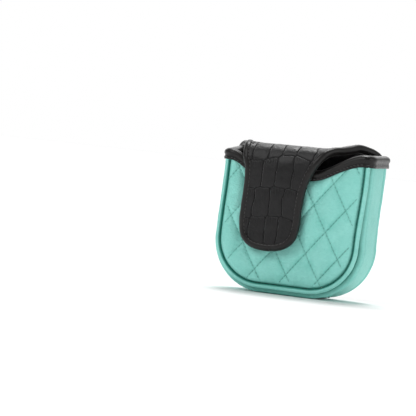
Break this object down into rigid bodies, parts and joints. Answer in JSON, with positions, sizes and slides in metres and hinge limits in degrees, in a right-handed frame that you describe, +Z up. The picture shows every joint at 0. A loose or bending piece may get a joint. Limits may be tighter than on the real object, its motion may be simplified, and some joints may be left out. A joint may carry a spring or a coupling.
{
  "type": "putter head cover",
  "caption": "Padded leather putter head cover: quilted and embossed panels, piped gusset, bound rim, and a flap that folds over the mouth and closes with magnets.",
  "frame": {"origin": "centre of the bounding box's base, on the ground under the upright cover", "axes": "+X across the cover to the right as seen from the closure side, +Y towards the embroidered display side, +Z up through the mouth"},
  "size_m": [0.1322, 0.06, 0.1254],
  "materials": {
    "croc_leather": "glossy croc-embossed",
    "smooth_leather": "semi-gloss smooth",
    "mint_leather": "soft pebbled",
    "plush": "short velour pile",
    "padding": "open-cell foam",
    "silver_thread": "satin-stitched rayon",
    "dark_thread": "matt polyester thread",
    "black_thread": "waxed polyester thread",
    "pouch_fabric": "plain non-woven",
    "piping_cord": "twisted cotton",
    "magnet_nickel": "nickel plated"
  },
  "bodies": {
    "pocket": {"display_panel": "croc_leather", "display_foam": "padding", "display_lining": "plush", "embroidery": "silver_thread", "closure_panel": "mint_leather", "closure_foam": "padding", "closure_lining": "plush", "quilting_thread": "dark_thread", "closure_magnet_left": "magnet_nickel", "closure_magnet_right": "magnet_nickel", "closure_magnet_pouch": "pouch_fabric", "gusset": "mint_leather", "gusset_foam": "padding", "gusset_lining": "plush", "underside_bars": "black_thread", "display_piping_cover": "mint_leather", "display_piping_cord": "piping_cord", "closure_piping_cover": "mint_leather", "closure_piping_cord": "piping_cord", "rim_binding": "smooth_leather", "rim_binding_thread": "black_thread"},
    "flap_top": {"flap_top_leather": "croc_leather", "flap_top_foam": "padding", "flap_top_lining": "plush", "flap_top_binding_left": "smooth_leather", "flap_top_binding_right": "smooth_leather", "flap_top_thread_left": "black_thread", "flap_top_thread_right": "black_thread"},
    "flap_tongue": {"tongue_leather": "croc_leather", "tongue_foam": "padding", "tongue_lining": "plush", "tongue_binding": "smooth_leather", "tongue_thread": "black_thread", "tongue_magnet_left": "magnet_nickel", "tongue_magnet_right": "magnet_nickel", "tongue_magnet_pouch": "pouch_fabric"}
  },
  "joints": [
    {"name": "flap_lift", "type": "hinge", "parent": "pocket", "child": "flap_top", "pos_m": [0, 0.03041, 0.112], "axis": [-1, 0, 0], "range_deg": [0, 120]},
    {"name": "tongue_bend", "type": "hinge", "parent": "flap_top", "child": "flap_tongue", "pos_m": [0, -0.02467, 0.12008], "axis": [-1, 0, 0], "range_deg": [0, 90]}
  ]
}
